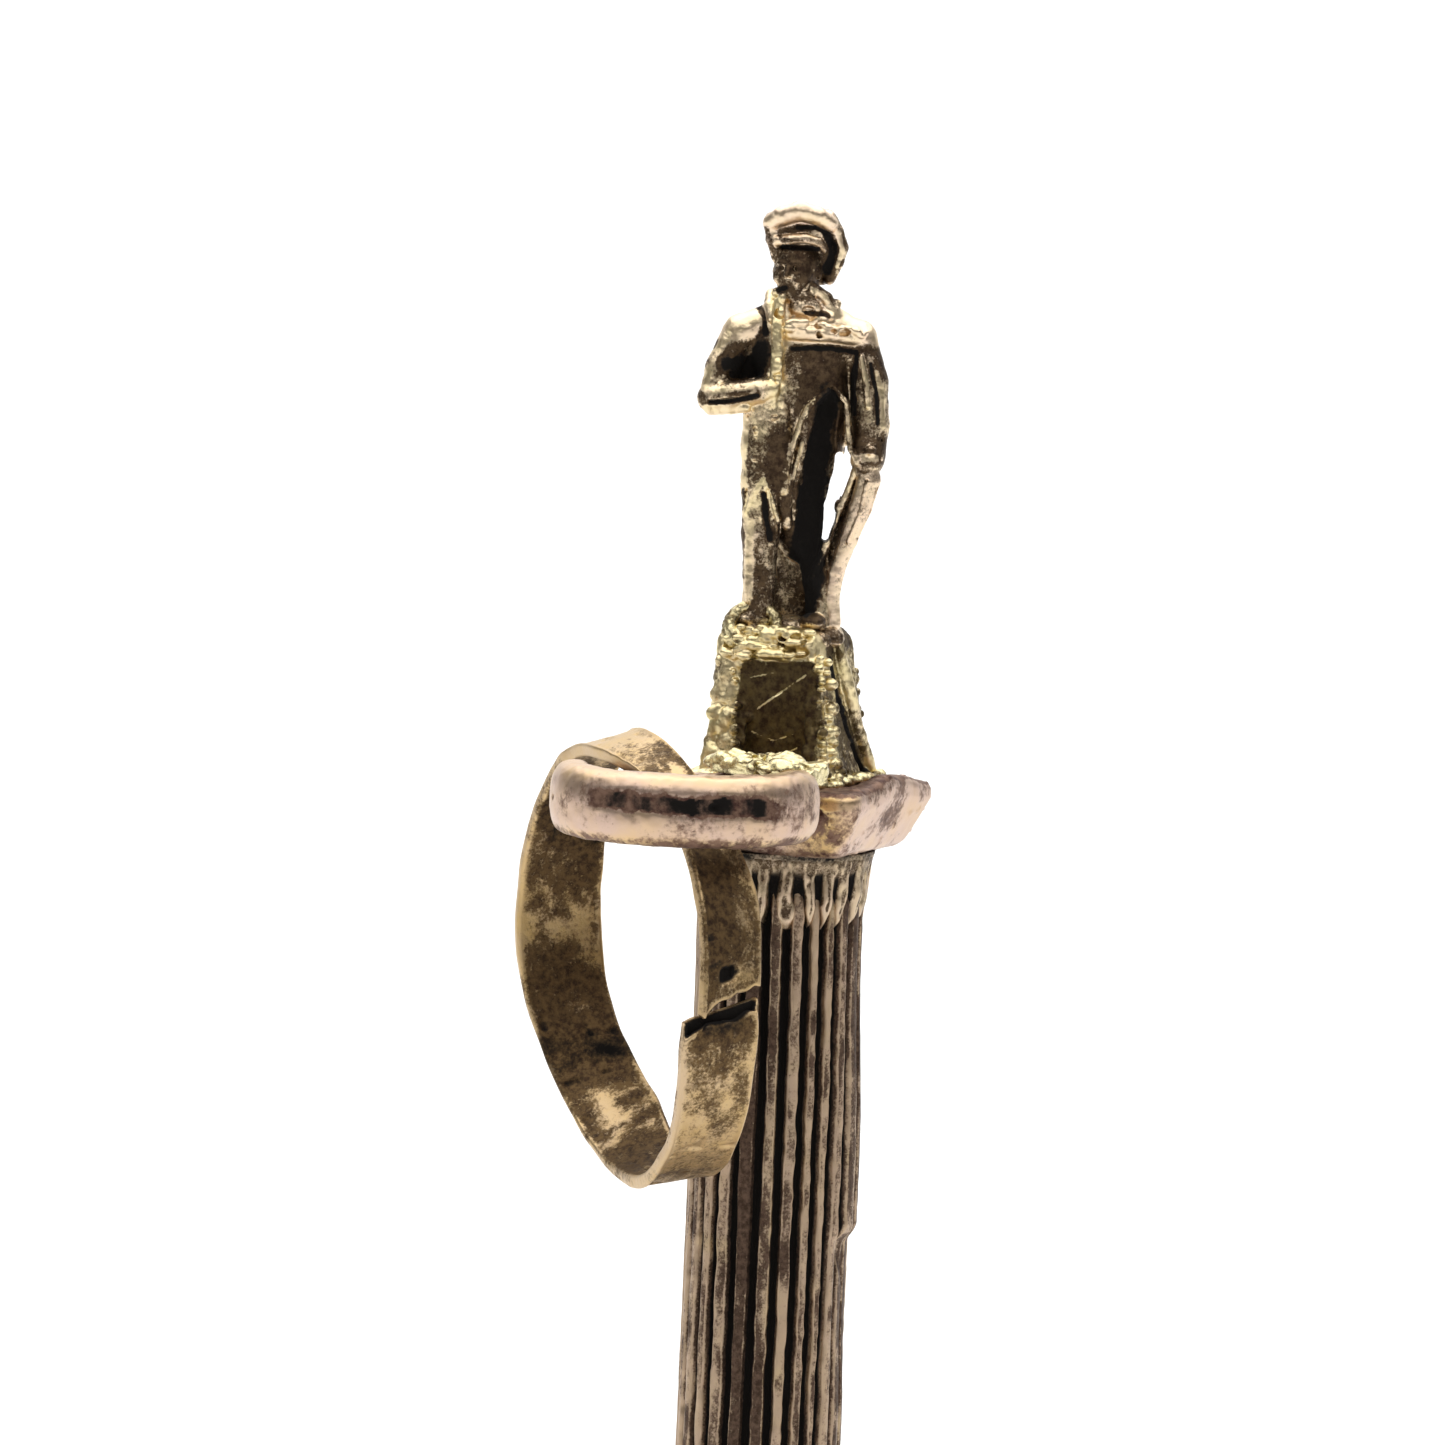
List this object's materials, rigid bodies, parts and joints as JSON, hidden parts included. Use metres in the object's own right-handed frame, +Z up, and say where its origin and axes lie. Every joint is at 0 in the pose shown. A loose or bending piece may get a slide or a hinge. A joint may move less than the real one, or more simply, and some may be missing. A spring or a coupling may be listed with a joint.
{
  "type": "bottle opener",
  "caption": "Free-standing column-shaped bottle opener with a statue on top, a split ring in a soldered loop and a flat cap plate as its foot.",
  "frame": {"origin": "centre of the underside of the plinth, on the column's axis, on the face the object stands on", "axes": "+Z up along the column, the figure faces -Y, the cap window lies towards +Y"},
  "size_m": [0.039, 0.0627, 0.1095],
  "materials": {
    "cast_brass": "worn antique patina",
    "rose_brass": "worn bright on the edges",
    "ring_brass": "tarnished sheet",
    "solder": "lumpy and bright",
    "steel": "satin"
  },
  "bodies": {
    "opener": {"statue": "cast_brass", "sword": "cast_brass", "rope_coil": "cast_brass", "pedestal": "cast_brass", "pedestal_solder": "solder", "abacus": "rose_brass", "loop_solder": "solder", "hanging_loop": "rose_brass", "leaf_collar": "cast_brass", "fluted_shaft": "rose_brass", "tie_rod": "steel", "tie_washer": "steel", "tie_nut": "steel", "column_foot": "cast_brass", "plinth_cornice": "cast_brass", "plinth_die": "cast_brass", "plinth_steps": "cast_brass", "opener_plate": "cast_brass", "opener_claw": "steel", "claw_rivets": "steel", "plate_screws": "steel"},
    "ring": {"split_ring": "ring_brass"}
  },
  "joints": [
    {"name": "ring_swing", "type": "hinge", "parent": "opener", "child": "ring", "pos_m": [-0.00419, -0.00931, 0.07935], "axis": [0.7071, 0.7071, 0], "range_deg": [-3, 168]}
  ]
}
